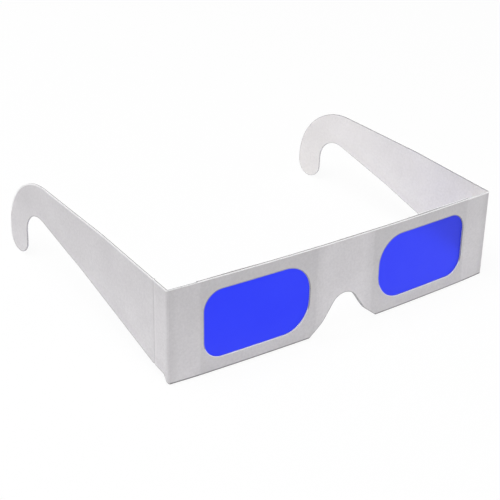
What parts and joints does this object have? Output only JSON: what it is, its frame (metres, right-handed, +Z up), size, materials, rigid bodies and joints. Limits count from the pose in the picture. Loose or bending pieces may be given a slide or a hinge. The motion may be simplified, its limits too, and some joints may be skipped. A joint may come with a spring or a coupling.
{
  "type": "card glasses",
  "caption": "Card glasses with two blue filter windows in a folded two-ply front, a nose notch, and flat temples with ear hooks that fold at creased corners.",
  "frame": {"origin": "on the surface that the open glasses stand on, under the middle of the nose notch, which is the notch's mouth", "axes": "+Z up from the surface; the wearer's side is +Y, so the front's outer face looks to -Y and the temples run back along +Y; +X to the right as seen from in front"},
  "size_m": [0.1513, 0.1054, 0.0354],
  "materials": {
    "front_card": "smooth coated white board, satin",
    "back_card": "uncoated white board, matte",
    "temple_card": "smooth coated white board, satin",
    "crease_card": "coated white board, scored and bent",
    "film": "saturated blue filter film, glossy",
    "glue": "dried clear glue"
  },
  "bodies": {
    "front": {"front_panel": "front_card", "back_panel": "back_card", "left_bottom_fold": "crease_card", "right_bottom_fold": "crease_card", "left_film": "film", "right_film": "film", "left_film_glue": "glue", "right_film_glue": "glue", "bridge_glue": "glue", "left_crease": "crease_card", "right_crease": "crease_card"},
    "left_temple": {"left_temple_root": "temple_card", "left_score": "crease_card", "left_temple_arm": "temple_card"},
    "right_temple": {"right_temple_root": "temple_card", "right_score": "crease_card", "right_temple_arm": "temple_card"}
  },
  "joints": [
    {"name": "left_temple_fold", "type": "hinge", "parent": "front", "child": "left_temple", "pos_m": [-0.07225, 0.00449, 0.01739], "axis": [0, -0.1347, -0.9909], "range_deg": [-83.7, 93]},
    {"name": "right_temple_fold", "type": "hinge", "parent": "front", "child": "right_temple", "pos_m": [0.07225, 0.00449, 0.01739], "axis": [0, 0.1347, 0.9909], "range_deg": [-93.2, 81.5]}
  ]
}
